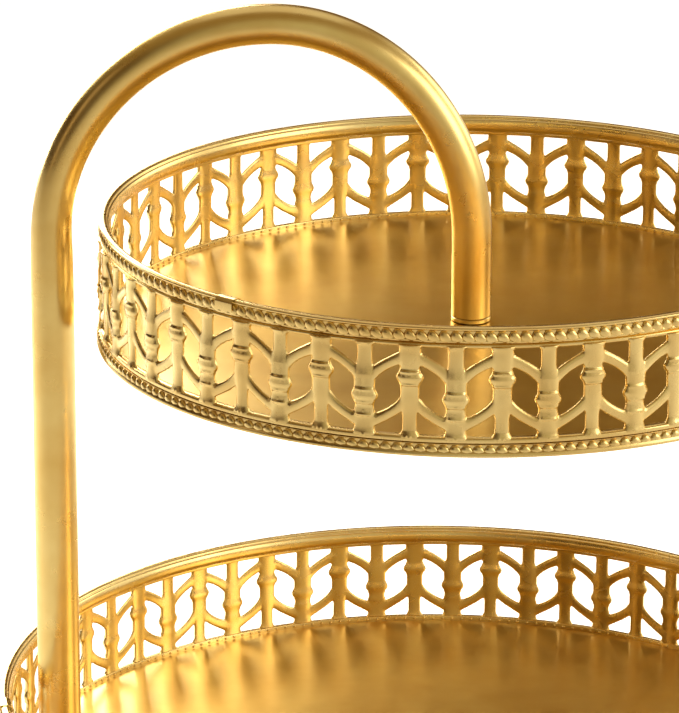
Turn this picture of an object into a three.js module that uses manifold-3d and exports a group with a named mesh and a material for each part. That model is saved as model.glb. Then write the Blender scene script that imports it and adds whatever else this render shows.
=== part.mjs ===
// Two-tier cake stand: two round trays with pierced galleries, carried by one arched tube.
// The tube stands near the lower tray's edge, arches over, and comes down on the centre of
// the upper tray, which hangs on one screw and can be turned on it.
// Millimetres, +Z up. Origin on the table, under the centre of the lower tray.
import * as THREE from 'three';
import { mergeVertices } from 'three/addons/utils/BufferGeometryUtils.js';
import Module from 'manifold-3d';

const wasm = await Module();
wasm.setup();

// ---- driving dimensions ----
// Trays, each measured to the outside of its rim
const upperRadius = 125;
const lowerRadius = 152.8;
const trayHeight = 42; // bottom edge to the top of the rim
const columnPitch = 14.5; // lattice columns, measured round the rim
const lowerTurn = THREE.MathUtils.degToRad(0.7); // how far the lower pattern is turned

// Pan, the plain floor sheet with its edge turned down
const floorHeight = 4.5; // bottom edge of the tray to the top of its floor
const sheet = 1.0;
const skirtLift = 0.6; // the skirt stops this far above the tray's bottom edge

// Gallery, the pierced strip round the pan
const stripThickness = 1.2;
const stripInset = 1.0; // outside of the rim to the outside of the strip
const stripLift = 0.6;
const windowBottom = 6.0; // above the tray's bottom edge
const windowTop = 35.0;
const stemHalf = 2.3; // half a column's straight stem
const bulbHalf = 4.6; // half a column's bulb
const bulbDrop = 11; // window top to the bulb of a column that hangs from the rim
const armDrop = 5.8; // how far an arm falls between two columns
const armWidth = 3.4; // arm, measured upright
const leafCorner = 3.2; // column centre to the leaf window's blunt corner
const leafTip = 2.6; // column centre to the leaf window's sharp corner

// Rim, the beaded roll on the gallery's top edge
const rimTall = 5.4;
const rimWide = 4.4;
const rimSeat = 0.8; // how far the flat under the rim stands in from its sides
const rimCrown = 1.4;

// Foot band, the beaded strip round the gallery's bottom edge
const bandTall = 3.8;
const bandFlare = 1.0; // how far the band stands out past the rim
const bandShoulder = 1.2;

// Joiner, the sheet channel over the rim's butt joint
const joinerLength = 7;
const joinerSheet = 0.5;
const joinerCell = 34; // the pattern cell it sits on, counted from +X
const joinerLeg = 4.4;

// Arched tube
const postRadius = 7.3;
const archRadius = 6.7; // narrower from the bend on
const tubeWall = 0.8;
const tubeSides = 12;
const tubeSteps = 40;
const postInset = 20.9; // outside of the lower rim to the post's centre
const postGap = 7.1; // clear space between the post and the upper tray
const tierSpacing = 168; // lower floor to upper floor
const springHeight = 28.5; // upper floor to where the arch starts
const archRise = 73.6;
const archShift = 3.7; // the arch's top stands this far past its middle
const narrowingLength = 30; // along the tube, centred on the start of the arch

// End plugs, screws and washers
const plugFlange = 1.5;
const plugLength = 12;
const screwRadius = 2.5;
const screwLength = 13;
const screwHeadRadius = 4.6;
const screwHeadTall = 2.2;
const screwHeadCrown = 3.2; // radius of the flat on top of the head
const washerRadius = 6.5;
const waveRadius = 5.5;
const flatWasher = 0.8;
const waveWasher = 0.7;
const lockWasher = 0.6;
const plateRadius = 14;
const plateThickness = 1.0;

// Foot pads under the lower tray
const padProud = 1.5; // how far the pads lift the tray's bottom edge
const padRadius = 6;
const padTaper = 0.8;
const padInset = 22; // outside of the rim to the pad's centre
const padCount = 4;

// Clearances
const fitGap = 0.3; // between pieces that are pressed or soldered together
const turnGap = 0.2; // above and below the upper pan, which turns
const roundSides = 16;

// ---- levels and places that follow ----
const floorUnder = floorHeight - sheet;
const lowerEdge = padProud; // z of the lower tray's bottom edge
const lowerFloor = lowerEdge + floorHeight;
const upperFloor = lowerFloor + tierSpacing;
const upperEdge = upperFloor - floorHeight;
const postX = -(lowerRadius - postInset);
const upperX = postX + postRadius + postGap + upperRadius + bandFlare;
const boreRadius = screwRadius + fitGap;

// ---- materials ----
const finish = {
  satinGold: new THREE.MeshStandardMaterial({ color: 0xd9ad52, roughness: 0.32, metalness: 1 }),
  brightGold: new THREE.MeshStandardMaterial({ color: 0xe6bd62, roughness: 0.22, metalness: 1 }),
  zinc: new THREE.MeshStandardMaterial({ color: 0xb9bcbf, roughness: 0.4, metalness: 1 }),
  rubber: new THREE.MeshStandardMaterial({ color: 0xd8d8d2, roughness: 0.6, metalness: 0 }),
};

// ---- shared shapes ----
function columnsAround(radius) {
  return 2 * Math.round((Math.PI * radius) / columnPitch);
}

// Closed profile of [radius, z] corners turned about Z; corners run anticlockwise in (r, z)
function turned(corners, sides) {
  const profile = corners.map(([r, z]) => new THREE.Vector2(r, z));
  if (corners[0][0] > 0 || corners[corners.length - 1][0] > 0) {
    profile.push(profile[0].clone());
  }
  const geometry = new THREE.LatheGeometry(profile, sides, Math.PI / 2);
  return geometry.rotateX(Math.PI / 2);
}

function toManifold(geometry) {
  const bare = geometry.clone();
  bare.deleteAttribute('normal');
  bare.deleteAttribute('uv');
  const merged = mergeVertices(bare, 1e-4);
  const mesh = new wasm.Mesh({
    numProp: 3,
    vertProperties: Float32Array.from(merged.attributes.position.array),
    triVerts: Uint32Array.from(merged.index.array),
  });
  return new wasm.Manifold(mesh);
}

function fromManifold(solid) {
  const mesh = solid.getMesh();
  const geometry = new THREE.BufferGeometry();
  geometry.setAttribute('position', new THREE.BufferAttribute(mesh.vertProperties, 3));
  geometry.setIndex(new THREE.BufferAttribute(mesh.triVerts, 1));
  return geometry;
}

function piece(name, geometry, material) {
  const mesh = new THREE.Mesh(geometry, material);
  mesh.name = name;
  return mesh;
}

// ---- gallery ----
// One cell runs from a column that hangs from the rim (u = 0) to one that stands on the
// foot (u = pitch). Its three windows are point-symmetric about the cell's middle.
function cellWindows(pitch) {
  const flip = ([u, z]) => [pitch - u, windowBottom + windowTop - z];
  const topCorner = [
    [leafCorner, windowTop],
    [pitch - stemHalf, windowTop],
    [pitch - stemHalf, windowTop - armDrop],
  ];
  const halfLeaf = [
    [leafTip, windowTop - armWidth],
    [pitch - leafCorner, windowTop - armWidth - armDrop],
    [pitch - bulbHalf, windowBottom + bulbDrop],
  ];
  return [topCorner, [...halfLeaf, ...halfLeaf.map(flip)], topCorner.map(flip)];
}

function isAnticlockwise(loop) {
  return THREE.ShapeUtils.area(loop) > 0;
}

function oriented(points, anticlockwise) {
  const loop = points.map(([u, z]) => new THREE.Vector2(u, z));
  return isAnticlockwise(loop) === anticlockwise ? loop : loop.reverse();
}

// Pierced strip bent round the tray: the cell is laid out flat, wrapped onto the outer and
// inner radius, and every second cell is its mirror image
function galleryGeometry(radius) {
  const columns = columnsAround(radius);
  const outer = radius - stripInset;
  const inner = outer - stripThickness;
  const pitch = (2 * Math.PI * outer) / columns;
  const low = stripLift;
  const high = trayHeight - rimTall;
  const corners = [[0, low], [pitch, low], [pitch, high], [0, high]];
  const positions = [];
  const place = (cell, point, r) => {
    const angle = ((cell + point.x / pitch) * 2 * Math.PI) / columns;
    positions.push(r * Math.cos(angle), r * Math.sin(angle), point.y);
  };
  const quad = (cell, a, b) => {
    place(cell, b, outer);
    place(cell, a, outer);
    place(cell, a, inner);
    place(cell, b, outer);
    place(cell, a, inner);
    place(cell, b, inner);
  };
  for (let cell = 0; cell < columns; cell++) {
    const mirrored = cell % 2 === 0;
    const side = ([u, z]) => (mirrored ? [pitch - u, z] : [u, z]);
    const contour = oriented(corners, true);
    const windows = cellWindows(pitch).map((loop) => oriented(loop.map(side), false));
    const points = [...contour, ...windows.flat()];
    for (const [a, b, c] of THREE.ShapeUtils.triangulateShape(contour, windows)) {
      place(cell, points[a], outer);
      place(cell, points[b], outer);
      place(cell, points[c], outer);
      place(cell, points[c], inner);
      place(cell, points[b], inner);
      place(cell, points[a], inner);
    }
    quad(cell, contour[0], contour[1]);
    quad(cell, contour[2], contour[3]);
    for (const loop of windows) {
      loop.forEach((point, i) => quad(cell, point, loop[(i + 1) % loop.length]));
    }
  }
  const geometry = new THREE.BufferGeometry();
  geometry.setAttribute('position', new THREE.Float32BufferAttribute(positions, 3));
  return mergeVertices(geometry, 1e-3);
}

// ---- the other tray pieces ----
function panGeometry(radius, hole) {
  const outer = radius - stripInset - stripThickness - fitGap;
  const inside = outer - sheet;
  return turned([
    [hole, floorUnder],
    [inside, floorUnder],
    [inside, skirtLift],
    [outer, skirtLift],
    [outer, floorHeight],
    [hole, floorHeight],
  ], columnsAround(radius));
}

function rimGeometry(radius) {
  const base = trayHeight - rimTall;
  const belly = base + rimTall / 2;
  return turned([
    [radius - rimWide + rimSeat, base],
    [radius - rimSeat, base],
    [radius, belly],
    [radius - rimCrown, trayHeight],
    [radius - rimWide + rimCrown, trayHeight],
    [radius - rimWide, belly],
  ], columnsAround(radius));
}

function footBandGeometry(radius) {
  const inner = radius - stripInset + fitGap;
  const outer = radius + bandFlare;
  return turned([
    [inner, 0],
    [outer, 0],
    [outer, bandTall - bandShoulder],
    [outer - bandShoulder, bandTall],
    [inner, bandTall],
  ], columnsAround(radius));
}

// Channel that straddles the rim, lying along the middle of one flat of the rim
function joinerGeometry(radius) {
  const flat = Math.cos(Math.PI / columnsAround(radius));
  const outside = radius * flat + fitGap + joinerSheet;
  const inside = (radius - rimWide) * flat - fitGap - joinerSheet;
  const top = trayHeight + fitGap + joinerSheet;
  const channel = new THREE.Shape([
    new THREE.Vector2(inside, top - joinerLeg),
    new THREE.Vector2(inside + joinerSheet, top - joinerLeg),
    new THREE.Vector2(inside + joinerSheet, top - joinerSheet),
    new THREE.Vector2(outside - joinerSheet, top - joinerSheet),
    new THREE.Vector2(outside - joinerSheet, top - joinerLeg),
    new THREE.Vector2(outside, top - joinerLeg),
    new THREE.Vector2(outside, top),
    new THREE.Vector2(inside, top),
  ]);
  const geometry = new THREE.ExtrudeGeometry(channel, { depth: joinerLength, bevelEnabled: false });
  return geometry.translate(0, 0, -joinerLength / 2).rotateX(Math.PI / 2);
}

function tray(name, radius, pan) {
  const group = new THREE.Group();
  group.add(piece(`${name}_pan`, pan, finish.satinGold));
  group.add(piece(`${name}_gallery`, galleryGeometry(radius), finish.brightGold));
  group.add(piece(`${name}_rim`, rimGeometry(radius), finish.brightGold));
  group.add(piece(`${name}_foot_band`, footBandGeometry(radius), finish.brightGold));
  const joiner = piece(`${name}_rim_joiner`, joinerGeometry(radius), finish.brightGold);
  joiner.rotation.z = ((joinerCell + 0.5) * 2 * Math.PI) / columnsAround(radius);
  group.add(joiner);
  return group;
}

function screwHole(x, y) {
  const tool = new THREE.CylinderGeometry(boreRadius, boreRadius, 4 * sheet, roundSides);
  return toManifold(tool.rotateX(Math.PI / 2).translate(x, y, floorHeight - sheet / 2));
}

function lowerTray() {
  const disc = toManifold(panGeometry(lowerRadius, 0));
  const holeX = postX * Math.cos(-lowerTurn);
  const holeY = postX * Math.sin(-lowerTurn);
  const group = tray('lower', lowerRadius, fromManifold(disc.subtract(screwHole(holeX, holeY))));
  group.position.z = lowerEdge;
  group.rotation.z = lowerTurn;
  return group;
}

function upperTray() {
  const group = tray('upper', upperRadius, panGeometry(upperRadius, boreRadius));
  group.position.set(upperX, 0, upperEdge);
  return group;
}

// ---- arched tube and its fittings ----
// Post straight up, two quarter ellipses over, and a short straight leg down to the upper
// tray. The ellipses are walked by their angle, which is close to even steps along them.
const archFoot = lowerFloor + plugFlange;
const archSpring = upperFloor + springHeight;
const archEnd = upperFloor + plugFlange + turnGap;
const archTopX = (postX + upperX) / 2 + archShift;
const archRun = (Math.PI * ((upperX - postX) / 2 + archRise)) / 2;

class ArchPath extends THREE.Curve {
  constructor() {
    super();
    this.post = archSpring - archFoot;
    this.total = this.post + archRun + archSpring - archEnd;
  }

  getPoint(t, target = new THREE.Vector3()) {
    const s = t * this.total;
    if (s < this.post) {
      return target.set(postX, 0, archFoot + s);
    }
    if (s < this.post + archRun) {
      const angle = Math.PI * (1 - (s - this.post) / archRun);
      const reach = Math.cos(angle) < 0 ? archTopX - postX : upperX - archTopX;
      const x = archTopX + reach * Math.cos(angle);
      return target.set(x, 0, archSpring + archRise * Math.sin(angle));
    }
    return target.set(upperX, 0, archSpring - (s - this.post - archRun));
  }

  // Both ends are cut square to the trays
  getTangent(t, target = new THREE.Vector3()) {
    if (t < 1e-3) {
      return target.set(0, 0, 1);
    }
    if (t > 1 - 1e-3) {
      return target.set(0, 0, -1);
    }
    return super.getTangent(t, target);
  }

  radiusAt(t) {
    const past = t * this.total - this.post;
    const share = THREE.MathUtils.smoothstep(past, -narrowingLength / 2, narrowingLength / 2);
    return THREE.MathUtils.lerp(postRadius, archRadius, share);
  }
}

// Outer and inner walls ring by ring along the path, closed by a flat ring at each end
function archTube() {
  const path = new ArchPath();
  const positions = [];
  const index = [];
  const across = new THREE.Vector3(0, 1, 0);
  const quad = (a, b, c, d) => index.push(a, b, c, a, c, d);
  const corner = (ring, wall, side) => (ring * 2 + wall) * tubeSides + (side % tubeSides);
  for (let i = 0; i <= tubeSteps; i++) {
    const t = i / tubeSteps;
    const centre = path.getPoint(t);
    const outward = across.clone().cross(path.getTangent(t));
    for (const inset of [0, tubeWall]) {
      const radius = path.radiusAt(t) - inset;
      for (let k = 0; k < tubeSides; k++) {
        const angle = (k * 2 * Math.PI) / tubeSides;
        const point = centre.clone();
        point.addScaledVector(outward, radius * Math.cos(angle));
        point.addScaledVector(across, radius * Math.sin(angle));
        positions.push(point.x, point.y, point.z);
      }
    }
  }
  for (let k = 0; k < tubeSides; k++) {
    for (let i = 0; i < tubeSteps; i++) {
      quad(corner(i, 0, k), corner(i, 0, k + 1), corner(i + 1, 0, k + 1), corner(i + 1, 0, k));
      quad(corner(i, 1, k), corner(i + 1, 1, k), corner(i + 1, 1, k + 1), corner(i, 1, k + 1));
    }
    quad(corner(0, 0, k), corner(0, 1, k), corner(0, 1, k + 1), corner(0, 0, k + 1));
    const last = tubeSteps;
    quad(corner(last, 0, k), corner(last, 0, k + 1), corner(last, 1, k + 1), corner(last, 1, k));
  }
  const geometry = new THREE.BufferGeometry();
  geometry.setAttribute('position', new THREE.Float32BufferAttribute(positions, 3));
  geometry.setIndex(index);
  geometry.computeVertexNormals();
  return piece('arch_tube', geometry, finish.satinGold);
}

// Threaded plug: a flange as wide as the tube, and a spigot up inside it
function endPlug(name, x, seat, tubeRadius) {
  const spigotRadius = (tubeRadius - tubeWall) * Math.cos(Math.PI / tubeSides) - fitGap;
  const plug = piece(name, turned([
    [boreRadius, 0],
    [tubeRadius, 0],
    [tubeRadius, plugFlange],
    [spigotRadius, plugFlange],
    [spigotRadius, plugFlange + plugLength],
    [boreRadius, plugFlange + plugLength],
  ], roundSides), finish.satinGold);
  plug.position.set(x, 0, seat);
  return plug;
}

// Pan-head screw, with z = 0 under its head
function screw(name, x, seat) {
  const mesh = piece(name, turned([
    [0, -screwHeadTall],
    [screwHeadCrown, -screwHeadTall],
    [screwHeadRadius, -screwHeadTall / 2],
    [screwHeadRadius, 0],
    [screwRadius, 0],
    [screwRadius, screwLength],
    [0, screwLength],
  ], roundSides), finish.zinc);
  mesh.position.set(x, 0, seat);
  return mesh;
}

function washer(name, x, top, radius, thickness) {
  const mesh = piece(name, turned([
    [boreRadius, -thickness],
    [radius, -thickness],
    [radius, 0],
    [boreRadius, 0],
  ], roundSides), finish.zinc);
  mesh.position.set(x, 0, top);
  return mesh;
}

// Under the lower floor: backing plate, lock washer, screw
function postFixing() {
  const group = new THREE.Group();
  const plateTop = lowerEdge + floorUnder;
  const lockTop = plateTop - plateThickness;
  group.add(endPlug('post_end_plug', postX, lowerFloor, postRadius));
  group.add(washer('post_backing_plate', postX, plateTop, plateRadius, plateThickness));
  group.add(washer('post_lock_washer', postX, lockTop, washerRadius, lockWasher));
  group.add(screw('post_screw', postX, lockTop - lockWasher));
  return group;
}

// Under the upper floor: flat washer, wave washer, screw
function hangerFixing() {
  const group = new THREE.Group();
  const flatTop = upperEdge + floorUnder - turnGap;
  const waveTop = flatTop - flatWasher;
  group.add(endPlug('hanger_end_plug', upperX, upperFloor + turnGap, archRadius));
  group.add(washer('hanger_flat_washer', upperX, flatTop, washerRadius, flatWasher));
  group.add(washer('hanger_wave_washer', upperX, waveTop, waveRadius, waveWasher));
  group.add(screw('hanger_screw', upperX, waveTop - waveWasher));
  return group;
}

function footPads() {
  const group = new THREE.Group();
  const height = lowerEdge + floorUnder;
  for (let i = 0; i < padCount; i++) {
    const angle = ((i + 0.5) * 2 * Math.PI) / padCount;
    const shape = new THREE.CylinderGeometry(padRadius, padRadius - padTaper, height, roundSides);
    const pad = piece(`foot_pad_${i + 1}`, shape.rotateX(Math.PI / 2), finish.rubber);
    const reach = lowerRadius - padInset;
    pad.position.set(reach * Math.cos(angle), reach * Math.sin(angle), height / 2);
    group.add(pad);
  }
  return group;
}

const stand = new THREE.Group();
stand.add(lowerTray());
stand.add(footPads());
stand.add(postFixing());
stand.add(archTube());
stand.add(hangerFixing());
stand.add(upperTray());

export default stand;
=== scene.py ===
import math

import bmesh
import bpy
from mathutils import Matrix, Vector


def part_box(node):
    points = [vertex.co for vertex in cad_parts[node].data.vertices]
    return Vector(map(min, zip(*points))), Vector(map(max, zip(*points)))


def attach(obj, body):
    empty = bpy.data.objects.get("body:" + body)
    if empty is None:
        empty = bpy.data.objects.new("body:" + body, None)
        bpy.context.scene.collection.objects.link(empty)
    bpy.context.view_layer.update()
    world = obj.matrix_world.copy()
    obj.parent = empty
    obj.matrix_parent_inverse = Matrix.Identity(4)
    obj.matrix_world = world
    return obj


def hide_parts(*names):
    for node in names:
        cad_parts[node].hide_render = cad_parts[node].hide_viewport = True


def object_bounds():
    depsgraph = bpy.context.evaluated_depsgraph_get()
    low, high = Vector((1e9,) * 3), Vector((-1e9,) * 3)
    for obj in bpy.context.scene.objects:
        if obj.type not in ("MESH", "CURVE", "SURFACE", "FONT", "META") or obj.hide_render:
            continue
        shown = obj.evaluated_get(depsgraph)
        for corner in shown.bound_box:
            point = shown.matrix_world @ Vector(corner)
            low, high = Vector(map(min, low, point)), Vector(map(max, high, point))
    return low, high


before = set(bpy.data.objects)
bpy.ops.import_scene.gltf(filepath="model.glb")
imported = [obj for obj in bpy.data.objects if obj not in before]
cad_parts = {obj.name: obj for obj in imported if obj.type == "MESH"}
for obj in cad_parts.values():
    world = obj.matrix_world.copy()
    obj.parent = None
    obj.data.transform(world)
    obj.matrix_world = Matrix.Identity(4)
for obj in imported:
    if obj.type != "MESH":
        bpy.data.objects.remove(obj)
cadBounds = [list(corner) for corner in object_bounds()]
print("frame loaded:", len(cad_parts), "nodes")

mm = 0.001
scene = bpy.context.scene


# small helpers
def hexColour(text):
    # sRGB hex to the linear colour a shader socket takes
    parts = [int(text[i:i + 2], 16) / 255 for i in (1, 3, 5)]
    linear = [c / 12.92 if c <= 0.04045 else ((c + 0.055) / 1.055) ** 2.4 for c in parts]
    return (*linear, 1.0)


def addNode(tree, kind, settings=None, inputs=None):
    # one node with its settings; an input is a value or another node's output socket
    node = tree.nodes.new(kind)
    node.location = (190 * len(tree.nodes), 0)
    for key, value in (settings or {}).items():
        setattr(node, key, value)
    for key, value in (inputs or {}).items():
        if isinstance(value, bpy.types.NodeSocket):
            tree.links.new(value, node.inputs[key])
        else:
            node.inputs[key].default_value = value
    return node


def addObject(name, mesh):
    piece = bpy.data.objects.new(name, mesh)
    scene.collection.objects.link(piece)
    return piece


def meshFromBmesh(name, bm, sharpDegrees=40):
    bmesh.ops.recalc_face_normals(bm, faces=bm.faces)
    mesh = bpy.data.meshes.new(name)
    bm.to_mesh(mesh)
    bm.free()
    mesh.shade_smooth()
    mesh.set_sharp_from_angle(angle=math.radians(sharpDegrees))
    return mesh


def applied(name, host):
    # the host's modifiers turned into a plain mesh on a new object
    bpy.context.view_layer.update()
    graph = bpy.context.evaluated_depsgraph_get()
    mesh = bpy.data.meshes.new_from_object(host.evaluated_get(graph), depsgraph=graph)
    bpy.data.objects.remove(host)
    return addObject(name, mesh)


def joined(name, pieces):
    # several meshes as one piece, keeping their materials
    bm = bmesh.new()
    materials = []
    for piece in pieces:
        start = len(bm.faces)
        bm.from_mesh(piece.data)
        bm.faces.ensure_lookup_table()
        material = [finish for finish in piece.data.materials if finish][0]
        if material not in materials:
            materials.append(material)
        for face in bm.faces[start:]:
            face.material_index = materials.index(material)
        bpy.data.objects.remove(piece)
    mesh = bpy.data.meshes.new(name)
    bm.to_mesh(mesh)
    bm.free()
    for material in materials:
        mesh.materials.append(material)
    return addObject(name, mesh)


# materials
def newMaterial(name):
    material = bpy.data.materials.new(name)
    material.use_nodes = True
    tree = material.node_tree
    tree.nodes.clear()
    place = addNode(tree, "ShaderNodeTexCoord").outputs["Object"]
    return material, tree, place


def finishMaterial(tree, shader):
    addNode(tree, "ShaderNodeOutputMaterial", inputs={"Surface": shader.outputs[0]})


def noise(tree, place, sizeMm, detail=2.0, stretch=(1, 1, 1)):
    # noise whose blobs are about sizeMm across
    scaled = addNode(tree, "ShaderNodeMapping", inputs={"Vector": place, "Scale": stretch})
    return addNode(tree, "ShaderNodeTexNoise", inputs={
        "Vector": scaled.outputs[0], "Scale": 1 / (sizeMm * mm), "Detail": detail}).outputs[0]


def spread(tree, value, low, high):
    # a noise's middle range stretched to low..high
    return addNode(tree, "ShaderNodeMapRange", inputs={
        "Value": value, "From Min": 0.3, "From Max": 0.7, "To Min": low, "To Max": high}).outputs[0]


def bump(tree, height, distanceMm, under=None):
    # a bump laid over another one
    inputs = {"Height": height, "Distance": distanceMm * mm, "Strength": 1.0}
    if under is not None:
        inputs["Normal"] = under
    return addNode(tree, "ShaderNodeBump", inputs=inputs).outputs[0]


goldLooks = {
    # gold-plated iron sheet under clear lacquer: soft mirror, a little wavy from rolling
    "satinGoldSheet": dict(pale="#E9C769", deep="#DEB554", rough=(0.29, 0.33), coat=0.7,
                           waveMm=70, waveHeight=0.03),
    # the same plating on drawn tube: smooth, with faint lines along it
    "drawnGoldTube": dict(pale="#EFD890", deep="#E2C274", rough=(0.26, 0.33), coat=0.2,
                          waveMm=40, waveHeight=0.03,
                          grainMm=2.0, grainHeight=0.002, grainStretch=(1, 1, 0.15)),
    # plating on a pressed strip: brighter, with a fine hammered skin from the die
    "pressedGoldStrip": dict(pale="#F0DB9A", deep="#E2C37C", rough=(0.22, 0.3), coat=0.2,
                             waveMm=12, waveHeight=0.05,
                             grainMm=1.4, grainHeight=0.006, grainStretch=(1, 1, 1)),
}
goldPatchMm = 22      # how far the plating's tone runs before it changes
goldSmearMm = 9       # and its gloss


def goldMaterial(name):
    look = goldLooks[name]
    material, tree, place = newMaterial(name)
    colour = addNode(tree, "ShaderNodeMix", {"data_type": "RGBA"}, {
        0: spread(tree, noise(tree, place, goldPatchMm, 3), 0, 1),
        6: hexColour(look["pale"]), 7: hexColour(look["deep"])})
    surface = bump(tree, noise(tree, place, look["waveMm"], 1), look["waveHeight"])
    if "grainMm" in look:
        grain = noise(tree, place, look["grainMm"], 2, look["grainStretch"])
        surface = bump(tree, grain, look["grainHeight"], surface)
    shader = addNode(tree, "ShaderNodeBsdfPrincipled", inputs={
        "Base Color": colour.outputs[2], "Metallic": 1.0,
        "Roughness": spread(tree, noise(tree, place, goldSmearMm, 3), *look["rough"]),
        "Normal": surface, "Coat Weight": look["coat"], "Coat Roughness": 0.2})
    finishMaterial(tree, shader)
    return material


# bright zinc plate on turned steel: cool grey, fine turning marks
zincLook = dict(colour="#C3C6C9", rough=(0.28, 0.42), smearMm=3,
                marksMm=0.25, marksHeight=0.01, marksStretch=(1, 1, 6))


def zincMaterial():
    material, tree, place = newMaterial("brightZincSteel")
    marks = noise(tree, place, zincLook["marksMm"], 1, zincLook["marksStretch"])
    shader = addNode(tree, "ShaderNodeBsdfPrincipled", inputs={
        "Base Color": hexColour(zincLook["colour"]), "Metallic": 1.0,
        "Roughness": spread(tree, noise(tree, place, zincLook["smearMm"]), *zincLook["rough"]),
        "Normal": bump(tree, marks, zincLook["marksHeight"])})
    finishMaterial(tree, shader)
    return material


# milky polyurethane bumper: soft, slightly clear, dusty in patches
rubberLook = dict(pale="#E4E2DA", dusty="#CFCCC2", patchMm=4, rough=(0.45, 0.6), smearMm=2,
                  grainMm=0.4, grainHeight=0.02, clear=0.15, clearMm=1.5)


def rubberMaterial():
    material, tree, place = newMaterial("milkyBumperRubber")
    tone = spread(tree, noise(tree, place, rubberLook["patchMm"]), 0, 1)
    colour = addNode(tree, "ShaderNodeMix", {"data_type": "RGBA"}, {
        0: tone, 6: hexColour(rubberLook["pale"]), 7: hexColour(rubberLook["dusty"])})
    grain = noise(tree, place, rubberLook["grainMm"])
    gloss = noise(tree, place, rubberLook["smearMm"])
    shader = addNode(tree, "ShaderNodeBsdfPrincipled", inputs={
        "Base Color": colour.outputs[2], "Roughness": spread(tree, gloss, *rubberLook["rough"]),
        "Normal": bump(tree, grain, rubberLook["grainHeight"]),
        "Subsurface Weight": rubberLook["clear"], "IOR": 1.5,
        "Subsurface Scale": rubberLook["clearMm"] * mm})
    finishMaterial(tree, shader)
    return material


sheetGold = goldMaterial("satinGoldSheet")
tubeGold = goldMaterial("drawnGoldTube")
stripGold = goldMaterial("pressedGoldStrip")
zincSteel = zincMaterial()
bumperRubber = rubberMaterial()
print("materials made")


# shapes turned about a vertical axis
def turnedMesh(name, loop, centre, sides, start=0.0, sweep=math.tau, sharpDegrees=40):
    # a closed loop of (radius, height) in metres turned about a vertical axis; part turns get ends
    whole = sweep >= math.tau
    bm = bmesh.new()
    rings = []
    for i in range(sides if whole else sides + 1):
        angle = start + sweep * i / sides
        c, s = math.cos(angle), math.sin(angle)
        rings.append([bm.verts.new((centre.x + r * c, centre.y + r * s, z)) for r, z in loop])
    pairs = list(zip(rings, rings[1:]))
    if whole:
        pairs.append((rings[-1], rings[0]))
    count = len(loop)
    for a, b in pairs:
        for k in range(count):
            bm.faces.new((a[k], a[(k + 1) % count], b[(k + 1) % count], b[k]))
    if not whole:
        bm.faces.new(rings[0])
        bm.faces.new(rings[-1])
    bmesh.ops.remove_doubles(bm, verts=bm.verts, dist=1e-7)
    loose = [edge for edge in bm.edges if not edge.link_faces]
    bmesh.ops.delete(bm, geom=loose, context="EDGES")
    return meshFromBmesh(name, bm, sharpDegrees)


def turned(name, loop, centre, sides, material, **options):
    piece = addObject(name, turnedMesh(name, loop, centre, sides, **options))
    piece.data.materials.append(material)
    return piece


def rounded(loop, radius, steps=3):
    # a loop of corners with each corner cut to a small round; one on the axis stays as it is
    result = []
    count = len(loop)
    for i, corner in enumerate(loop):
        here = Vector(corner)
        if here.x == 0:
            result.append(tuple(corner))
            continue
        before = Vector(loop[i - 1]) - here
        after = Vector(loop[(i + 1) % count]) - here
        cut = min(radius, before.length * 0.45, after.length * 0.45)
        a = here + before.normalized() * cut
        b = here + after.normalized() * cut
        for k in range(steps + 1):
            t = k / steps
            result.append(tuple((1 - t) ** 2 * a + 2 * t * (1 - t) * here + t * t * b))
    return result


# copies laid out in a row and bent round a tray
def newTree(name, sockets):
    tree = bpy.data.node_groups.new(name, "GeometryNodeTree")
    tree.interface.new_socket("Geometry", in_out="INPUT", socket_type="NodeSocketGeometry")
    for label, kind in sockets.items():
        tree.interface.new_socket(label, in_out="INPUT", socket_type=kind)
    tree.interface.new_socket("Geometry", in_out="OUTPUT", socket_type="NodeSocketGeometry")
    return tree, addNode(tree, "NodeGroupInput").outputs


def maths(tree, operation, a, b=0.0):
    return addNode(tree, "ShaderNodeMath", {"operation": operation}, {0: a, 1: b}).outputs[0]


def endTree(tree, geometry, material):
    realized = addNode(tree, "GeometryNodeRealizeInstances", inputs={"Geometry": geometry})
    painted = addNode(tree, "GeometryNodeSetMaterial", inputs={
        "Geometry": realized.outputs[0], "Material": material})
    addNode(tree, "NodeGroupOutput", inputs={"Geometry": painted.outputs[0]})


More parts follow.
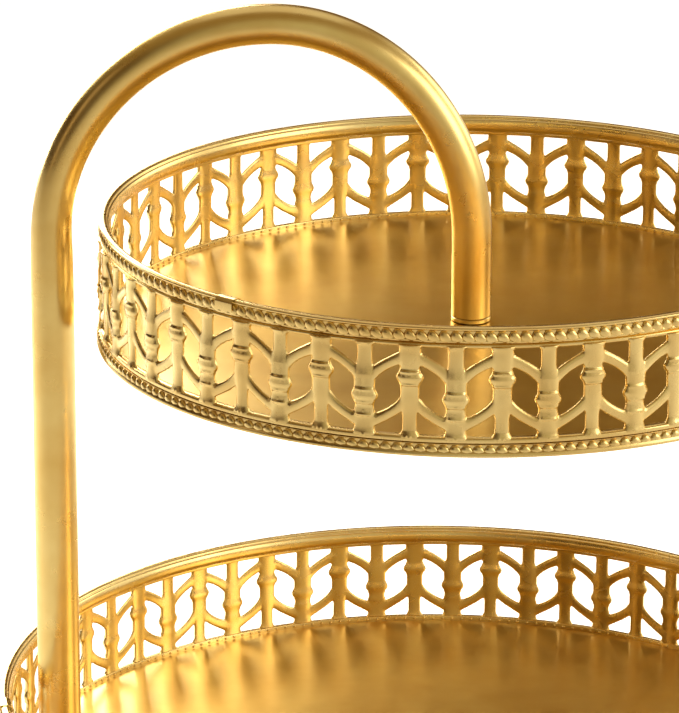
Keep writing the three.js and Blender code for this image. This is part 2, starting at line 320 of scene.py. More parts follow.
def wrapTree():
    tree, given = newTree("wrapRound", {
        "Copies": "NodeSocketInt", "Radius": "NodeSocketFloat", "Turn": "NodeSocketFloat",
        "Centre": "NodeSocketVector", "Weld": "NodeSocketFloat", "Uneven": "NodeSocketFloat",
        "Uneven at": "NodeSocketFloat", "Finish": "NodeSocketMaterial"})
    around = maths(tree, "MULTIPLY", given["Radius"], math.tau)
    pitch = maths(tree, "DIVIDE", around, given["Copies"])
    step = addNode(tree, "ShaderNodeCombineXYZ", inputs={"X": pitch})
    row = addNode(tree, "GeometryNodeMeshLine", inputs={
        "Count": given["Copies"], "Offset": step.outputs[0]})
    copies = addNode(tree, "GeometryNodeInstanceOnPoints", inputs={
        "Points": row.outputs[0], "Instance": given["Geometry"]})
    strip = addNode(tree, "GeometryNodeRealizeInstances", inputs={"Geometry": copies.outputs[0]})
    place = addNode(tree, "GeometryNodeInputPosition")
    split = addNode(tree, "ShaderNodeSeparateXYZ", inputs={"Vector": place.outputs[0]}).outputs
    even = maths(tree, "ADD", maths(tree, "DIVIDE", split["X"], given["Radius"]), given["Turn"])
    drift = maths(tree, "COSINE", maths(tree, "SUBTRACT", even, given["Uneven at"]))
    angle = maths(tree, "SUBTRACT", even, maths(tree, "MULTIPLY", drift, given["Uneven"]))
    reach = maths(tree, "SUBTRACT", given["Radius"], split["Y"])
    bent = addNode(tree, "ShaderNodeCombineXYZ", inputs={
        "X": maths(tree, "MULTIPLY", reach, maths(tree, "COSINE", angle)),
        "Y": maths(tree, "MULTIPLY", reach, maths(tree, "SINE", angle)),
        "Z": split["Z"]})
    moved = addNode(tree, "ShaderNodeVectorMath", {"operation": "ADD"}, {
        0: bent.outputs[0], 1: given["Centre"]})
    wrapped = addNode(tree, "GeometryNodeSetPosition", inputs={
        "Geometry": strip.outputs[0], "Position": moved.outputs[0]})
    welded = addNode(tree, "GeometryNodeMergeByDistance", inputs={
        "Geometry": wrapped.outputs[0], "Distance": given["Weld"]})
    endTree(tree, welded.outputs[0], given["Finish"])
    return tree


def runTree(name, mesh, tree, values):
    host = addObject(name + "Host", mesh)
    modifier = host.modifiers.new("nodes", "NODES")
    modifier.node_group = tree
    for item in tree.interface.items_tree:
        if item.item_type == "SOCKET" and item.in_out == "INPUT" and item.name in values:
            modifier[item.identifier] = values[item.name]
    return applied(name, host)


wrapRound = wrapTree()
# the pressed strip is squeezed a little on one side of this bearing and stretched on the other
unevenAtDegrees = 85


def wrapped(name, mesh, copies, radius, tray, material, turn=0.0, weld=0.0):
    return runTree(name, mesh, wrapRound, {
        "Copies": copies, "Radius": radius, "Turn": turn + tray["turn"],
        "Centre": (tray["centre"].x, tray["centre"].y, tray["edge"]),
        "Uneven": tray["uneven"], "Uneven at": math.radians(unevenAtDegrees), "Weld": weld,
        "Finish": material})


# the lattice: half a repeat, mirrored, then wrapped round the tray
lattice = {
    "columnPitch": 14.5,
    "depth": 0.52, "hollow": 0.2,     # a rib's stand-out and stand-in, as shares of its half width
    "fullness": 0.8,                  # 1 is an ellipse, less is squarer at the edges
    "back": 1.75,                     # rim's outside to the middle of the strip
    "voxel": 0.31, "smooth": 3, "keep": 0.12,
    "ringSides": 14,
    # half width against height, for a column that hangs from the rim
    "hanging": [(5.2, 3.8), (6.4, 3.0), (7.6, 2.35), (12, 2.3), (14, 2.5), (17, 3.0),
                (20, 3.05), (22, 3.05), (23.1, 3.3), (23.9, 4.1), (24.9, 4.4), (25.9, 4.0),
                (26.6, 3.4), (27.6, 3.1), (28.5, 3.2), (31, 3.6), (33, 3.5), (34.4, 3.5),
                (35.8, 4.2)],
    # and for one that stands on the foot
    "standing": [(5.2, 4.3), (6.4, 3.6), (8, 3.2), (10.5, 3.0), (12.2, 3.0), (13.0, 3.5),
                 (13.9, 3.1), (15.2, 3.1), (16.3, 3.4), (17.1, 4.1), (18.1, 4.4), (19.1, 4.0),
                 (20.2, 3.4), (21.5, 3.4), (25, 3.5), (26.6, 2.9), (28, 2.7), (29, 2.5),
                 (34.2, 2.5), (35.8, 3.7)],
    # thin raised rings across a column: height and half length
    "ringsHanging": [(22.9, 3.3), (26.9, 3.4)],
    "ringsStanding": [(16.0, 3.4), (20.2, 3.4), (11.9, 3.2)],
    "ringHalf": 0.45, "ringTubeSides": 8, "ringSteps": 12,
    # arms as quadratic curves: start, pull, end as (share of the pitch, height)
    "upperArm": [(1.0, 21.8), (0.72, 28.6), (0.0, 32.0)],
    "lowerArm": [(0.0, 19.2), (0.28, 12.4), (1.0, 9.0)],
    "armHalf": 1.75, "armSteps": 24,
    "armFlare": 0.6,                  # how much wider an arm's ends are than its middle
    "columnStep": 0.5,
}


def ribRing(bm, x, z, acrossX, acrossZ, half, sides):
    ring = []
    for k in range(sides):
        angle = math.tau * k / sides
        side = half * math.cos(angle)
        wave = math.sin(angle)
        out = math.copysign(abs(wave) ** lattice["fullness"], wave) * half
        out *= lattice["depth"] if wave > 0 else lattice["hollow"]
        ring.append(bm.verts.new((x + acrossX * side, -out, z + acrossZ * side)))
    return ring


def addRib(bm, points, halves):
    # a rib along (x, z) points in the strip's plane, rounded in front and less so behind
    rings = []
    for i, (x, z) in enumerate(points):
        ahead = points[min(i + 1, len(points) - 1)]
        behind = points[max(i - 1, 0)]
        run = Vector((ahead[0] - behind[0], ahead[1] - behind[1])).normalized()
        rings.append(ribRing(bm, x, z, run.y, -run.x, halves[i], lattice["ringSides"]))
    sides = lattice["ringSides"]
    for a, b in zip(rings, rings[1:]):
        for k in range(sides):
            bm.faces.new((a[k], a[(k + 1) % sides], b[(k + 1) % sides], b[k]))
    bm.faces.new(rings[0])
    bm.faces.new(rings[-1])


def addRings(bm, x, rings):
    # each ring is a small closed tube lying across the column, bowed over its face
    sides, steps = lattice["ringTubeSides"], lattice["ringSteps"]
    for z, reach in rings:
        loops = []
        for k in range(steps + 1):
            u = 2 * k / steps - 1
            front = reach * lattice["depth"] * (1 - u * u) ** 0.35 * mm
            loop = []
            for j in range(sides):
                angle = math.tau * j / sides
                along = lattice["ringHalf"] * math.sin(angle) * mm
                out = lattice["ringHalf"] * math.cos(angle) * mm
                loop.append(bm.verts.new(((x + reach * u) * mm, -(front + out), z * mm + along)))
            loops.append(loop)
        for a, b in zip(loops, loops[1:]):
            for j in range(sides):
                bm.faces.new((a[j], a[(j + 1) % sides], b[(j + 1) % sides], b[j]))
        bm.faces.new(loops[0])
        bm.faces.new(loops[-1])


def column(bm, x, profile):
    points, halves = [], []
    for (z0, h0), (z1, h1) in zip(profile, profile[1:]):
        steps = max(1, round((z1 - z0) / lattice["columnStep"]))
        for k in range(steps):
            t = k / steps
            points.append((x * mm, (z0 + (z1 - z0) * t) * mm))
            halves.append((h0 + (h1 - h0) * t) * mm)
    points.append((x * mm, profile[-1][0] * mm))
    halves.append(profile[-1][1] * mm)
    addRib(bm, points, halves)


def arm(bm, pitch, curve):
    start, pull, end = [Vector((share * pitch, z)) for share, z in curve]
    points, halves = [], []
    for k in range(lattice["armSteps"] + 1):
        t = k / lattice["armSteps"]
        point = (1 - t) ** 2 * start + 2 * t * (1 - t) * pull + t * t * end
        points.append((point.x * mm, point.y * mm))
        flare = 1 + lattice["armFlare"] * abs(2 * t - 1) ** 3
        halves.append(lattice["armHalf"] * flare * mm)
    addRib(bm, points, halves)


def latticeRepeat(pitch):
    bm = bmesh.new()
    column(bm, 0, lattice["hanging"])
    column(bm, pitch, lattice["standing"])
    addRings(bm, 0, lattice["ringsHanging"])
    addRings(bm, pitch, lattice["ringsStanding"])
    arm(bm, pitch, lattice["upperArm"])
    arm(bm, pitch, lattice["lowerArm"])
    host = addObject("latticeHost", meshFromBmesh("latticeHost", bm))
    remesh = host.modifiers.new("remesh", "REMESH")
    remesh.mode = "VOXEL"
    remesh.voxel_size = lattice["voxel"] * mm
    soften = host.modifiers.new("soften", "SMOOTH")
    soften.factor = 0.5
    soften.iterations = lattice["smooth"]
    thin = host.modifiers.new("thin", "DECIMATE")
    thin.ratio = lattice["keep"]
    blended = applied("latticeHalf", host)
    bm = bmesh.new()
    bm.from_mesh(blended.data)
    bpy.data.objects.remove(blended)
    for x, side in ((0, -1), (pitch * mm, 1)):
        geometry = bm.verts[:] + bm.edges[:] + bm.faces[:]
        bmesh.ops.bisect_plane(bm, geom=geometry, plane_co=(x, 0, 0), plane_no=(side, 0, 0),
                               clear_outer=True)
    for vertex in bm.verts:
        if abs(vertex.co.x) < 1e-6:
            vertex.co.x = 0
    copy = bmesh.ops.duplicate(bm, geom=bm.verts[:] + bm.edges[:] + bm.faces[:])["geom"]
    flipped = [item for item in copy if isinstance(item, bmesh.types.BMFace)]
    for item in copy:
        if isinstance(item, bmesh.types.BMVert):
            item.co.x *= -1
    bmesh.ops.reverse_faces(bm, faces=flipped)
    bmesh.ops.remove_doubles(bm, verts=bm.verts, dist=1e-6)
    mesh = bpy.data.meshes.new("latticeRepeat")
    bm.to_mesh(mesh)
    bm.free()
    mesh.shade_smooth()
    return mesh


# the two trays
railSides = 4     # facets round a rail for each lattice column


def trayFrame(name, turnDegrees, unevenDegrees):
    rimLow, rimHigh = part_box(name + "_rim")
    bandLow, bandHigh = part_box(name + "_foot_band")
    panLow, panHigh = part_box(name + "_pan")
    radius = max(rimHigh.x - rimLow.x, rimHigh.y - rimLow.y) / 2
    centre = (bandLow + bandHigh) / 2
    columns = 2 * round(math.pi * radius / (lattice["columnPitch"] * mm))
    return {
        "name": name, "centre": Vector((centre.x, 0, 0)), "radius": radius,
        "flare": (bandHigh.y - bandLow.y) / 2, "edge": bandLow.z, "floor": panHigh.z,
        "under": panLow.z, "panRadius": (panHigh.x - panLow.x) / 2,
        "columns": columns, "turn": math.radians(turnDegrees),
        "uneven": math.radians(unevenDegrees)}


def ellipsoid(name, halfSizes, lean=0.0, taper=0.0, around=8, rings=6):
    bm = bmesh.new()
    bmesh.ops.create_uvsphere(bm, u_segments=around, v_segments=rings, radius=1)
    x, y, z = [size * mm for size in halfSizes]
    for vertex in bm.verts:
        co = vertex.co
        vertex.co = (co.x * x * (1 - taper * co.z) - lean * co.z * z, co.y * y, co.z * z)
    return meshFromBmesh(name, bm, 80)


def heightsOf(tray, rows):
    # (inset from the rim's outside, height over the edge) in mm to (radius, z) in metres
    return [(tray["radius"] - inset * mm, tray["edge"] + z * mm) for inset, z in rows]


def lifted(mesh, height):
    mesh.transform(Matrix.Translation((0, 0, height * mm)))
    return mesh


# outlines are (inset from the rim's outside, height over the tray's edge)
galleryShape = {
    "topRail": [(3.0, 34.9), (1.5, 34.9), (0.9, 35.3), (0.9, 36.2), (1.9, 36.5), (1.9, 37.4),
                (3.0, 37.4)],
    "topRailRound": 0.35,
    "footRail": [(2.9, 0.8), (0.9, 0.8), (0.9, 4.0), (0.35, 4.3), (0.35, 5.6), (1.1, 6.1),
                 (2.9, 6.1)],
    "footRailRound": 0.4,
    "dimple": (0.6, 0.4, 0.45), "dimpleInset": 2.95, "dimpleHeight": 5.15, "dimplesPerColumn": 4,
    "weld": 0.02,
}


def makeGallery(tray):
    name = tray["name"] + "Gallery"
    sides = tray["columns"] * railSides
    middle = tray["radius"] - lattice["back"] * mm
    repeatPitch = math.tau * middle / tray["columns"] / mm
    # even columns stand on the foot, so the repeat starts one column round
    start = math.tau / tray["columns"]
    web = wrapped(name + "Lattice", latticeRepeat(repeatPitch), tray["columns"] // 2, middle,
                  tray, stripGold, turn=start, weld=galleryShape["weld"] * mm)
    rails = []
    for rail in ("topRail", "footRail"):
        loop = rounded(heightsOf(tray, galleryShape[rail]), galleryShape[rail + "Round"] * mm)
        rails.append(turned(name + rail, loop, tray["centre"], sides, stripGold))
    # the beads of the foot band press through as a fine dotted line inside
    dimple = ellipsoid("dimple", galleryShape["dimple"], around=6, rings=4)
    dimples = wrapped(name + "Dimples", lifted(dimple, galleryShape["dimpleHeight"]),
                      tray["columns"] * galleryShape["dimplesPerColumn"],
                      tray["radius"] - galleryShape["dimpleInset"] * mm, tray, stripGold)
    piece = joined(name, [web, *rails, dimples])
    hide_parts(tray["name"] + "_gallery")
    return piece


rimShape = {
    "roll": [(1.9, 36.4), (0.9, 36.7), (0.75, 37.4), (1.25, 38.2), (1.45, 40.6), (0.6, 40.9),
             (0.5, 41.5), (1.3, 42.0), (2.6, 41.95), (3.3, 41.5), (3.4, 40.9), (3.9, 40.7),
             (4.4, 39.4), (4.4, 37.6), (3.7, 36.2), (3.0, 35.9)],
    "rollRound": 0.5,
    # half width, stand-out and half height; taper is how much narrower the upper end is
    "lobe": (2.05, 0.9, 2.0), "lobeLean": 0.3, "lobeTaper": 0.3, "lobeInset": 1.3,
    "lobeHeight": 38.6, "lobesPerColumn": 4,
}


def makeRim(tray):
    name = tray["name"] + "Rim"
    roll = rounded(heightsOf(tray, rimShape["roll"]), rimShape["rollRound"] * mm)
    core = turned(name + "Roll", roll, tray["centre"], tray["columns"] * railSides, stripGold,
                  sharpDegrees=60)
    lobe = ellipsoid("rimLobe", rimShape["lobe"], rimShape["lobeLean"], rimShape["lobeTaper"])
    lobes = wrapped(name + "Lobes", lifted(lobe, rimShape["lobeHeight"]),
                    tray["columns"] * rimShape["lobesPerColumn"],
                    tray["radius"] - rimShape["lobeInset"] * mm, tray, stripGold)
    piece = joined(name, [core, lobes])
    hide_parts(tray["name"] + "_rim")
    return piece


footBandShape = {
    # the strip's foot, outset from the tray's widest point, then its back above that
    "foot": [(0, 0.0), (0, 0.7), (0.2, 1.3)],
    "back": [(-0.3, 1.7), (0.35, 2.3), (0.45, 3.6), (0.2, 3.8), (0.2, 4.0), (0.85, 4.0)],
    "inside": (0.85, 0.0), "stripRound": 0.2,
    "bead": (2.0, 0.75, 1.6), "beadLean": 0.2, "beadTaper": 0.35, "beadInset": 0.2,
    "beadHeight": 2.1, "beadsPerColumn": 4,
}


def makeFootBand(tray):
    name = tray["name"] + "FootBand"
    flare = (tray["flare"] - tray["radius"]) / mm
    foot = [(-flare + inset, z) for inset, z in footBandShape["foot"]]
    outline = [footBandShape["inside"], *foot, *footBandShape["back"]]
    strip = rounded(heightsOf(tray, outline), footBandShape["stripRound"] * mm)
    core = turned(name + "Strip", strip, tray["centre"], tray["columns"] * railSides, stripGold)
    bead = ellipsoid("footBead", footBandShape["bead"], footBandShape["beadLean"],
                     footBandShape["beadTaper"])
    beads = wrapped(name + "Beads", lifted(bead, footBandShape["beadHeight"]),
                    tray["columns"] * footBandShape["beadsPerColumn"],
                    tray["radius"] - footBandShape["beadInset"] * mm, tray, stripGold)
    piece = joined(name, [core, beads])
    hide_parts(tray["name"] + "_foot_band")
    return piece


# spare is a ring beside each bend, which keeps the bend's shading off the flat
floorShape = {"sheet": 1.0, "slack": 0.1, "bend": 0.4, "spare": 2.0, "screwHole": 2.8}


def makeFloor(tray, hole):
    name = tray["name"] + "Floor"
    top, skirt = tray["floor"], tray["under"]
    low = top - floorShape["sheet"] * mm
    outer = tray["panRadius"] - floorShape["slack"] * mm
    inner = outer - floorShape["sheet"] * mm
    spare = floorShape["spare"] * mm
    loop = [(hole, low), (hole + spare, low), (inner - spare, low), (inner, low),
            (inner, skirt), (outer, skirt), (outer, top), (outer - spare, top),
            (hole + spare, top), (hole, top)]
    piece = turned(name, rounded(loop, floorShape["bend"] * mm), tray["centre"],
                   tray["columns"] * railSides, sheetGold)
    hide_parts(tray["name"] + "_pan")
    return piece


joinerShape = {
    "length": 7.0, "cell": 34.5, "round": 0.2, "steps": 8,
    "inside": [(-0.35, 38.2), (-0.35, 40.9), (0.6, 42.0), (2.7, 42.05), (4.1, 41.4),
               (4.75, 40.0), (4.6, 38.6)],
    "outside": [(-0.5, 38.2), (-0.5, 41.0), (0.5, 42.25), (2.8, 42.3), (4.3, 41.6),
                (5.0, 40.1), (4.9, 38.5)],
}


def makeJoiner(tray):
    # a folded sheet saddle over the rim's butt joint
    name = tray["name"] + "RimJoiner"
    loop = heightsOf(tray, joinerShape["inside"] + joinerShape["outside"][::-1])
    middle = math.tau * joinerShape["cell"] / tray["columns"]
    span = joinerShape["length"] * mm / tray["radius"]
    piece = turned(name, rounded(loop, joinerShape["round"] * mm), tray["centre"],
                   joinerShape["steps"], stripGold, start=middle - span / 2, sweep=span)
    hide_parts(tray["name"] + "_rim_joiner")
    return piece


# the pattern's start, and how far the pressed strip is stretched to one side, in degrees
lowerTray = trayFrame("lower", -0.1, 0.0)
upperTray = trayFrame("upper", -1.45, 1.05)
for tray, body in ((lowerTray, "base"), (upperTray, "upper_tray")):
    hole = floorShape["screwHole"] * mm if tray is upperTray else 0.0
    for piece in (makeGallery(tray), makeRim(tray), makeFootBand(tray),
                  makeFloor(tray, hole), makeJoiner(tray)):
        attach(piece, body)
        print("made", piece.name, len(piece.data.polygons), "faces")


# the arched tube
# the post is a little thicker than the arch, where the bend has drawn the tube thinner
tubeShape = {"springAboveFloor": 28.5, "archShift": 3.7, "narrowing": 30, "joint": 0.35,
             "slack": 0.02, "underTop": 0.05, "weld": 0.01,
             "quarterSteps": 80, "legSteps": 40, "sides": 48}


def tubeTree():
    tree, given = newTree("archedTube", {
        "Post foot": "NodeSocketFloat", "Leg foot": "NodeSocketFloat",
        "Spring": "NodeSocketFloat", "Rise": "NodeSocketFloat",
        "Post X": "NodeSocketFloat", "Top X": "NodeSocketFloat", "Leg X": "NodeSocketFloat",
        "Post radius": "NodeSocketFloat", "Arch radius": "NodeSocketFloat",
        "Narrowing": "NodeSocketFloat", "Finish": "NodeSocketMaterial"})
    parts = []
    for foot, x in (("Post foot", "Post X"), ("Leg foot", "Leg X")):
        low = addNode(tree, "ShaderNodeCombineXYZ", inputs={"X": given[x], "Z": given[foot]})
        high = addNode(tree, "ShaderNodeCombineXYZ", inputs={"X": given[x], "Z": given["Spring"]})
        line = addNode(tree, "GeometryNodeCurvePrimitiveLine", inputs={
            "Start": low.outputs[0], "End": high.outputs[0]})
        steps = addNode(tree, "GeometryNodeResampleCurve", inputs={
            "Curve": line.outputs[0], "Count": tubeShape["legSteps"]})
        parts.append(steps.outputs[0])
    # quarter circles of radius 1, stretched to each side's reach and stood upright
    centre = addNode(tree, "ShaderNodeCombineXYZ", inputs={
        "X": given["Top X"], "Z": given["Spring"]})
    for start, x in ((0.0, "Leg X"), (math.pi / 2, "Post X")):
        arc = addNode(tree, "GeometryNodeCurveArc", inputs={
            "Resolution": tubeShape["quarterSteps"], "Radius": 1.0, "Start Angle": start,
            "Sweep Angle": math.pi / 2})
        reach = maths(tree, "ABSOLUTE", maths(tree, "SUBTRACT", given[x], given["Top X"]))
        size = addNode(tree, "ShaderNodeCombineXYZ", inputs={
            "X": reach, "Y": given["Rise"], "Z": 1.0})
        arch = addNode(tree, "GeometryNodeTransform", inputs={
            "Geometry": arc.outputs[0], "Scale": size.outputs[0]})
        stood = addNode(tree, "GeometryNodeTransform", inputs={
            "Geometry": arch.outputs[0], "Translation": centre.outputs[0],
            "Rotation": (math.pi / 2, 0, 0)})
        parts.append(stood.outputs[0])
    together = addNode(tree, "GeometryNodeJoinGeometry")
    for part in parts:
        tree.links.new(part, together.inputs[0])
    wire = addNode(tree, "GeometryNodeCurveToMesh", inputs={"Curve": together.outputs[0]})
    merged = addNode(tree, "GeometryNodeMergeByDistance", inputs={
        "Geometry": wire.outputs[0], "Distance": tubeShape["weld"] * mm})
    path = addNode(tree, "GeometryNodeMeshToCurve", inputs={"Mesh": merged.outputs[0]})
    # radius along the path: eased from the post's to the arch's about the spring line
    place = addNode(tree, "GeometryNodeInputPosition")
    split = addNode(tree, "ShaderNodeSeparateXYZ", inputs={"Vector": place.outputs[0]}).outputs
    half = maths(tree, "MULTIPLY", given["Narrowing"], 0.5)
    eased = addNode(tree, "ShaderNodeMapRange", {"interpolation_type": "SMOOTHSTEP"}, {
        "Value": split["Z"], "From Min": maths(tree, "SUBTRACT", given["Spring"], half),
        "From Max": maths(tree, "ADD", given["Spring"], half),
        "To Min": given["Post radius"], "To Max": given["Arch radius"]})
    onPost = maths(tree, "LESS_THAN", split["X"], given["Top X"])
    radius = addNode(tree, "ShaderNodeMix", inputs={
        0: onPost, 2: given["Arch radius"], 3: eased.outputs[0]})
    section = addNode(tree, "GeometryNodeCurvePrimitiveCircle", inputs={
        "Resolution": tubeShape["sides"], "Radius": 1.0})
    swept = addNode(tree, "GeometryNodeCurveToMesh", inputs={
        "Curve": path.outputs[0], "Profile Curve": section.outputs[0],
        "Scale": radius.outputs[0], "Fill Caps": True})
    smooth = addNode(tree, "GeometryNodeSetShadeSmooth", inputs={"Geometry": swept.outputs[0]})
    endTree(tree, smooth.outputs[0], given["Finish"])
    return tree


def makeTube():
    low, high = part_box("arch_tube")
    postLow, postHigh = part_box("post_end_plug")
    hangLow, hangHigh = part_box("hanger_end_plug")
    slack = tubeShape["slack"] * mm
    postRadius = (postHigh.x - postLow.x) / 2 - slack
    archRadius = (hangHigh.x - hangLow.x) / 2 - slack
    postX, legX = (postLow.x + postHigh.x) / 2, (hangLow.x + hangHigh.x) / 2
    flange = low.z - postLow.z + tubeShape["joint"] * mm
    spring = upperTray["floor"] + tubeShape["springAboveFloor"] * mm
    rise = high.z - archRadius - spring - tubeShape["underTop"] * mm
    topX = (postX + legX) / 2 + tubeShape["archShift"] * mm
    piece = runTree("archedTube", bpy.data.meshes.new("tubeHost"), tubeTree(), {
        "Post foot": postLow.z + flange, "Leg foot": hangLow.z + flange,
        "Spring": spring, "Rise": rise, "Post X": postX, "Top X": topX, "Leg X": legX,
        "Post radius": postRadius, "Arch radius": archRadius,
        "Narrowing": tubeShape["narrowing"] * mm, "Finish": tubeGold})
    piece.data.set_sharp_from_angle(angle=math.radians(40))
    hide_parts("arch_tube")
    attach(piece, "base")
    print("made", piece.name, len(piece.data.polygons), "faces")
    return postX, legX


postX, hangerX = makeTube()


# end plugs, screws, washers and pads
screwBore = 2.8
plugShape = {"slack": 0.02, "flange": 1.45, "chamfer": 0.22, "spigot": 5.2, "sides": 48}


def makePlug(node, x):
    low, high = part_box(node)
    radius = (high.x - low.x) / 2 - plugShape["slack"] * mm
    flangeTop = low.z + plugShape["flange"] * mm
    chamfer = plugShape["chamfer"] * mm
    bore, spigot = screwBore * mm, plugShape["spigot"] * mm
    loop = [(bore, low.z), (radius - chamfer, low.z), (radius, low.z + chamfer),
            (radius, flangeTop - chamfer), (radius - chamfer, flangeTop), (spigot, flangeTop),
            (spigot, high.z), (bore, high.z)]
    piece = turned(node.replace("_end_plug", "EndPlug"), loop, Vector((x, 0, 0)),
                   plugShape["sides"], tubeGold, sharpDegrees=30)
    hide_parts(node)
    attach(piece, "base")


screwShape = {
    "shank": 2.45, "head": 2.2, "tip": 0.5, "sides": 40,
    "flat": 0.7, "domed": 0.55,       # shares of the head's radius and of its height
    "domeSteps": 7,
    "crossSpan": 1.05, "crossWide": 0.24, "crossDeep": 2.4,
}


def crossCutter(x, z, headRadius):
    size = headRadius * screwShape["crossSpan"]
    narrow = size * screwShape["crossWide"]
    bm = bmesh.new()
    for across, along in ((size, narrow), (narrow, size)):
        box = Matrix.Diagonal((across, along, screwShape["crossDeep"] * mm, 1))
        bmesh.ops.create_cube(bm, size=1, matrix=Matrix.Translation((x, 0, z)) @ box)
    return addObject("crossCutter", meshFromBmesh("crossCutter", bm))


def makeScrew(node, x):
    low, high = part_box(node)
    headRadius = (high.x - low.x) / 2
    headTall = screwShape["head"] * mm
    seat = low.z + headTall
    shank, tip = screwShape["shank"] * mm, screwShape["tip"] * mm
    flat, domed = screwShape["flat"], screwShape["domed"]
    loop = [(0, low.z)]
    for k in range(screwShape["domeSteps"] + 1):
        angle = math.pi / 2 * k / screwShape["domeSteps"]
        loop.append((headRadius * (flat + (1 - flat) * math.sin(angle)),
                     low.z + headTall * domed * (1 - math.cos(angle))))
    loop += [(headRadius, seat), (shank, seat), (shank, high.z - tip), (shank - tip, high.z),
             (0, high.z)]
    host = addObject(node + "Host", turnedMesh(node, loop, Vector((x, 0, 0)),
                                               screwShape["sides"], sharpDegrees=30))
    cutter = crossCutter(x, low.z, headRadius)
    cut = host.modifiers.new("cross", "BOOLEAN")
    cut.operation = "DIFFERENCE"
    cut.solver = "EXACT"
    cut.use_self = True
    cut.object = cutter
    piece = applied(node.replace("_screw", "Screw"), host)
    bpy.data.objects.remove(cutter)
    piece.data.materials.clear()
    piece.data.materials.append(zincSteel)
    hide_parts(node)
    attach(piece, "base")


washerShape = {
    "slack": 0.03, "edge": 0.12, "sides": 96,
    "waveSheet": 0.55,                # the wave washer's sheet, as a share of its height
    "teethFrom": 1.6, "teethDeep": 0.16,
}


def makeWasher(node, x, wave=0, teeth=0):
    low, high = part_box(node)
    outer = (high.x - low.x) / 2 - washerShape["slack"] * mm
    thick = high.z - low.z
    sheet = thick * (washerShape["waveSheet"] if wave else 1.0)
    bore = screwBore * mm
    corners = [(bore, low.z), (outer, low.z), (outer, low.z + sheet), (bore, low.z + sheet)]
    piece = turned(node.title().replace("_", ""), rounded(corners, washerShape["edge"] * mm),
                   Vector((x, 0, 0)), washerShape["sides"], zincSteel, sharpDegrees=35)
    for vertex in piece.data.vertices:
        co = vertex.co
        angle = math.atan2(co.y, co.x - x)
        reach = math.hypot(co.x - x, co.y)
        if wave:
            co.z += (thick - sheet) * (0.5 + 0.5 * math.sin(wave * angle))
        if teeth and reach > bore + washerShape["teethFrom"] * mm:
            dent = 0.5 + 0.5 * math.cos(teeth * angle)
            shrink = 1 - washerShape["teethDeep"] * dent * (reach - bore) / (outer - bore)
            co.x = x + (co.x - x) * shrink
            co.y *= shrink
    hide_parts(node)
    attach(piece, "base")


# the pad's flat foot, as a share of its radius, and its rounded edge, as a share of its height
padShape = {"flat": 0.8, "edge": 0.5, "edgeSteps": 6, "sides": 40}


def makePad(index):
    node = f"foot_pad_{index}"
    low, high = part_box(node)
    radius = (high.x - low.x) / 2
    tall = high.z - low.z
    flat, edge = padShape["flat"], padShape["edge"]
    loop = [(0, low.z), (radius * flat, low.z)]
    for k in range(1, padShape["edgeSteps"] + 1):
        angle = math.pi / 2 * k / padShape["edgeSteps"]
        loop.append((radius * (flat + (1 - flat) * math.sin(angle)),
                     low.z + tall * edge * (1 - math.cos(angle))))
    loop += [(radius, high.z), (0, high.z)]
    piece = turned(f"footPad{index}", loop, (low + high) / 2, padShape["sides"], bumperRubber,
                   sharpDegrees=50)
    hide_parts(node)
    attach(piece, "base")


makePlug("post_end_plug", postX)
makePlug("hanger_end_plug", hangerX)
makeScrew("post_screw", postX)
makeScrew("hanger_screw", hangerX)
makeWasher("post_backing_plate", postX)
makeWasher("post_lock_washer", postX, teeth=14)
makeWasher("hanger_flat_washer", hangerX)
makeWasher("hanger_wave_washer", hangerX, wave=3)
for index in range(1, 5):
    makePad(index)
print("fixings and pads made")


# camera, floor and light
view = {
    "place": (-35.58, -1441.53, 639.70), "lens": 227.74, "sensor": 36,      # mm
    "down": 18.38, "roll": -0.198,                                          # degrees
}


def makeCamera():
    data = bpy.data.cameras.new("camera")
    data.lens = view["lens"]
    data.sensor_width = view["sensor"]
    data.sensor_fit = "AUTO"
    data.clip_end = 50
    camera = bpy.data.objects.new("camera", data)
    scene.collection.objects.link(camera)
    down = Matrix.Rotation(math.radians(90 - view["down"]), 4, "X")
    roll = Matrix.Rotation(math.radians(-view["roll"]), 4, "Z")
    camera.matrix_world = Matrix.Translation(Vector(view["place"]) * mm) @ down @ roll
    scene.camera = camera


paper = {
    "radius": 12, "below": 0.1,                  # in metres; in mm under the pads
    "pale": "#F7F6F4", "shade": "#F3F2EF", "patchMm": 160,
    # glow in front of the stand and behind it, as seen and as the stand picks it up
    "glowSeen": (0.5, 0.72), "glowOnStand": (0.14, 0.47),
    "fade": (-0.4, 0.2),                         # where along Y the one passes into the other
}


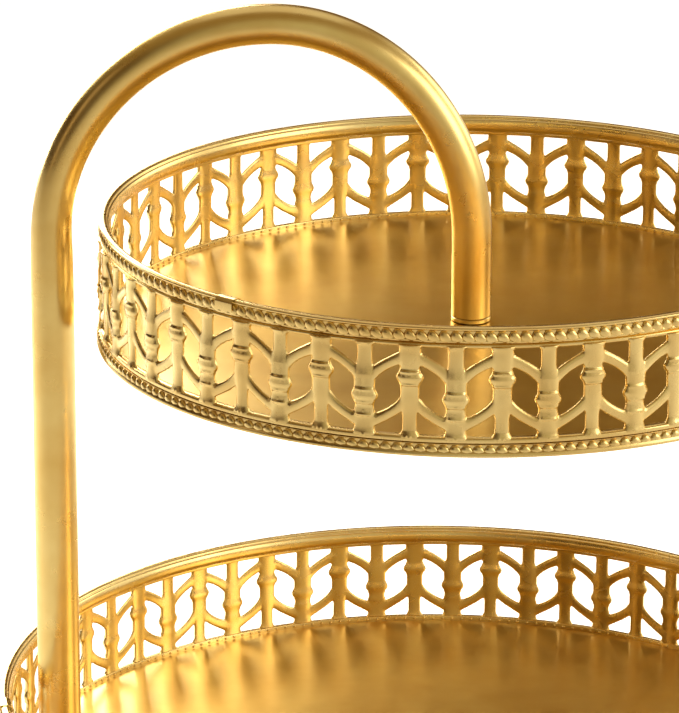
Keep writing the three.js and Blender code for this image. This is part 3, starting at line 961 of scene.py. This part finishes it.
def makeFloorStage():
    bm = bmesh.new()
    bmesh.ops.create_circle(bm, cap_ends=True, segments=96, radius=paper["radius"])
    mesh = meshFromBmesh("studioFloor", bm)
    floor = addObject("studioFloor", mesh)
    floor.location.z = cadBounds[0][2] - paper["below"] * mm
    # matte white paper with a painted glow: it emits light itself, more behind the stand than in
    # front, and shows the camera a brighter glow than it throws on the stand
    material, tree, place = newMaterial("paleStudioPaperPaintedGlow")
    tone = spread(tree, noise(tree, place, paper["patchMm"]), 0, 1)
    colour = addNode(tree, "ShaderNodeMix", {"data_type": "RGBA"}, {
        0: tone, 6: hexColour(paper["pale"]), 7: hexColour(paper["shade"])})
    back = addNode(tree, "ShaderNodeSeparateXYZ", inputs={"Vector": place}).outputs["Y"]

    def glowAcross(front, behind):
        return addNode(tree, "ShaderNodeMapRange", {"interpolation_type": "SMOOTHSTEP"}, {
            "Value": back, "From Min": paper["fade"][0], "From Max": paper["fade"][1],
            "To Min": front, "To Max": behind}).outputs[0]

    # painted glow: camera rays see the paper brighter than the light it gives the stand
    seen = addNode(tree, "ShaderNodeLightPath").outputs["Is Camera Ray"]
    glow = addNode(tree, "ShaderNodeMix", inputs={
        0: seen, 2: glowAcross(*paper["glowOnStand"]), 3: glowAcross(*paper["glowSeen"])})
    shader = addNode(tree, "ShaderNodeBsdfPrincipled", inputs={
        "Base Color": colour.outputs[2], "Roughness": 0.9,
        "Emission Color": (1, 1, 1, 1), "Emission Strength": glow.outputs[0]})
    finishMaterial(tree, shader)
    mesh.materials.append(material)


lights = {
    "keyRight": dict(place=(1.25, -0.5, 0.68), size=(0.8, 0.85), power=5.6, colour="#FFF8EC"),
    "kickRight": dict(place=(1.1, 0.7, 0.6), size=(0.6, 0.65), power=3.4, colour="#FFF4E0"),
    "stripLeft": dict(place=(-1.3, -0.5, 0.65), size=(0.3, 0.75), power=0.4, colour="#FFE0B8"),
    "windowBehind": dict(place=(-0.35, 0.58, 0.37), size=(0.5, 0.48), power=6.0, colour="#FFF6E6"),
    "overhead": dict(place=(0.0, 0.9, 2.3), size=(2.2, 2.2), power=7.5, colour="#FFFFFF"),
}
lightAim = (0, 0, 0.14)


def makeLight(name, light):
    data = bpy.data.lights.new(name, "AREA")
    data.shape = "RECTANGLE"
    data.size, data.size_y = light["size"]
    data.energy = light["power"]
    data.color = hexColour(light["colour"])[:3]
    lamp = bpy.data.objects.new(name, data)
    scene.collection.objects.link(lamp)
    lamp.visible_camera = False
    lamp.location = light["place"]
    aim = Vector(lightAim) - Vector(light["place"])
    lamp.rotation_euler = aim.to_track_quat("-Z", "Y").to_euler()


# each side's colour and strength; seen is what the eye sees past the paper
sky = {
    "right": ("#F3E9D4", 1.1), "frontMiddle": ("#C3B797", 1.0), "frontLeft": ("#4A3418", 1.0),
    "left": ("#3C2610", 1.0),
    "backMiddle": ("#664612", 1.0), "backLeft": ("#F4DFB4", 1.3),
    "above": ("#967A4A", 1.0), "seen": ("#FFFFFF", 1.0),
}


# where one side passes into the next, along the direction's X, Y or Z
skyFades = {
    "behindLeft": (-0.45, -0.05), "farLeft": (-0.85, -0.5), "inFrontLeft": (-0.6, 0.0),
    "frontToBack": (-0.3, 0.3), "toRight": (0.3, 0.75), "upward": (0.35, 0.85),
}


def makeWorld():
    # a room that is bright behind on the left, brown elsewhere behind and cream on the right
    world = bpy.data.worlds.new("studio")
    scene.world = world
    world.use_nodes = True
    tree = world.node_tree
    tree.nodes.clear()
    place = addNode(tree, "ShaderNodeTexCoord").outputs["Generated"]
    axes = addNode(tree, "ShaderNodeSeparateXYZ", inputs={"Vector": place}).outputs

    def glow(part):
        text, level = sky[part]
        return (*(level * c for c in hexColour(text)[:3]), 1.0)

    def ease(axis, fade):
        low, high = skyFades[fade]
        return addNode(tree, "ShaderNodeMapRange", {"interpolation_type": "SMOOTHSTEP"}, {
            "Value": axes[axis], "From Min": low, "From Max": high}).outputs[0]

    def blend(share, first, second):
        return addNode(tree, "ShaderNodeMix", {"data_type": "RGBA"}, {
            0: share, 6: first, 7: second}).outputs[2]

    back = blend(ease("X", "behindLeft"), glow("backLeft"), glow("backMiddle"))
    behind = blend(ease("X", "farLeft"), glow("left"), back)
    before = blend(ease("X", "inFrontLeft"), glow("frontLeft"), glow("frontMiddle"))
    middle = blend(ease("Y", "frontToBack"), before, behind)
    around = blend(ease("X", "toRight"), middle, glow("right"))
    dome = blend(ease("Z", "upward"), around, glow("above"))
    seen = addNode(tree, "ShaderNodeLightPath").outputs["Is Camera Ray"]
    colour = blend(seen, dome, glow("seen"))
    background = addNode(tree, "ShaderNodeBackground", inputs={
        "Color": colour, "Strength": 1.0})
    addNode(tree, "ShaderNodeOutputWorld", inputs={"Surface": background.outputs[0]})


makeCamera()
makeFloorStage()
makeWorld()
for name, light in lights.items():
    makeLight(name, light)
scene.view_settings.view_transform = "Standard"
print("camera, floor and light set")

bpy.context.view_layer.update()
